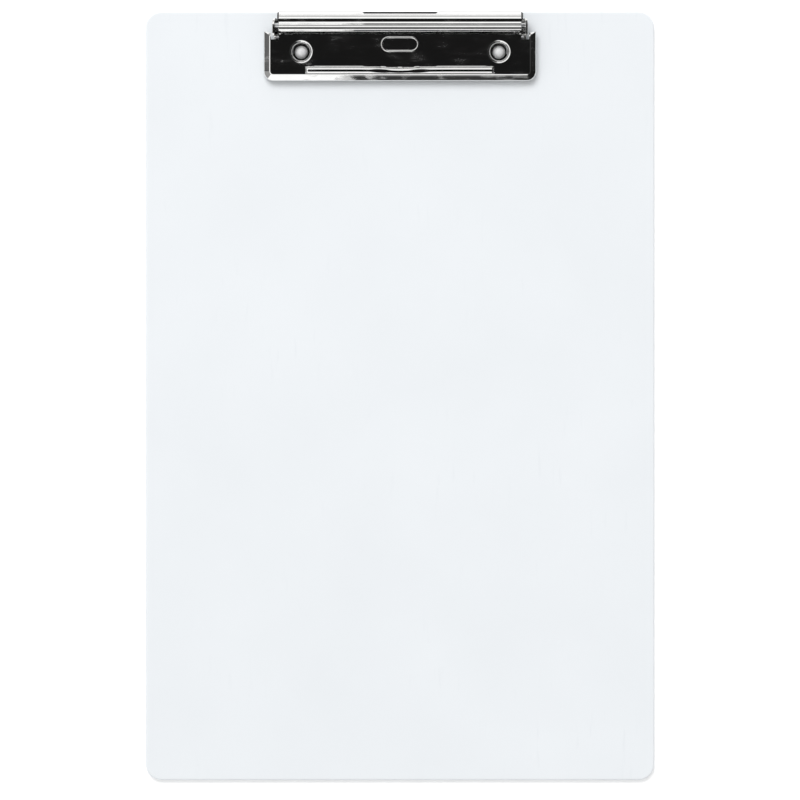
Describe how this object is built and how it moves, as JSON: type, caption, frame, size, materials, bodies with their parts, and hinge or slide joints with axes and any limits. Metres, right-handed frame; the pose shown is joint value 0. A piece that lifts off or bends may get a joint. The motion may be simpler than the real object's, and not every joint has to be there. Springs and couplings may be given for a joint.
{
  "type": "clipboard",
  "caption": "Plain white plastic clipboard with a low chromed clip: lifting the lever at its back opens the sprung jaw.",
  "frame": {"origin": "centre of the board's back face, the face it lies on", "axes": "+X to the right across the board, +Y up the page towards the clip, +Z out of the board's writing face"},
  "size_m": [0.225, 0.34, 0.0121],
  "materials": {
    "board_plastic": "fine matt with a faint sheen",
    "chromed_sheet": "bright mirror plating",
    "pin_steel": "drawn wire, plated",
    "spring_steel": "oiled spring wire",
    "rivet_metal": "satin, lightly tumbled"
  },
  "bodies": {
    "board": {"board_panel": "board_plastic", "base_plate": "chromed_sheet", "jaw_pin": "pin_steel", "lever_pin": "pin_steel", "left_jaw_spring": "spring_steel", "right_jaw_spring": "spring_steel", "mounting_rivets": "rivet_metal", "rivet_washers": "pin_steel"},
    "jaw": {"jaw_plate": "chromed_sheet"},
    "lever": {"lift_lever": "chromed_sheet"}
  },
  "joints": [
    {"name": "lever_lift", "type": "hinge", "parent": "board", "child": "lever", "pos_m": [0, 0.1636, 0.0094], "axis": [1, 0, 0], "range_deg": [0, 80], "stiffness_Nm_per_rad": 0.02},
    {"name": "jaw_open", "type": "hinge", "parent": "board", "child": "jaw", "pos_m": [0, 0.1582, 0.0062], "axis": [-1, 0, 0], "range_deg": [0, 20], "stiffness_Nm_per_rad": 0.2}
  ],
  "couplings": [
    {"joint": "jaw_open", "follows": "lever_lift", "ratio": 0.25}
  ]
}
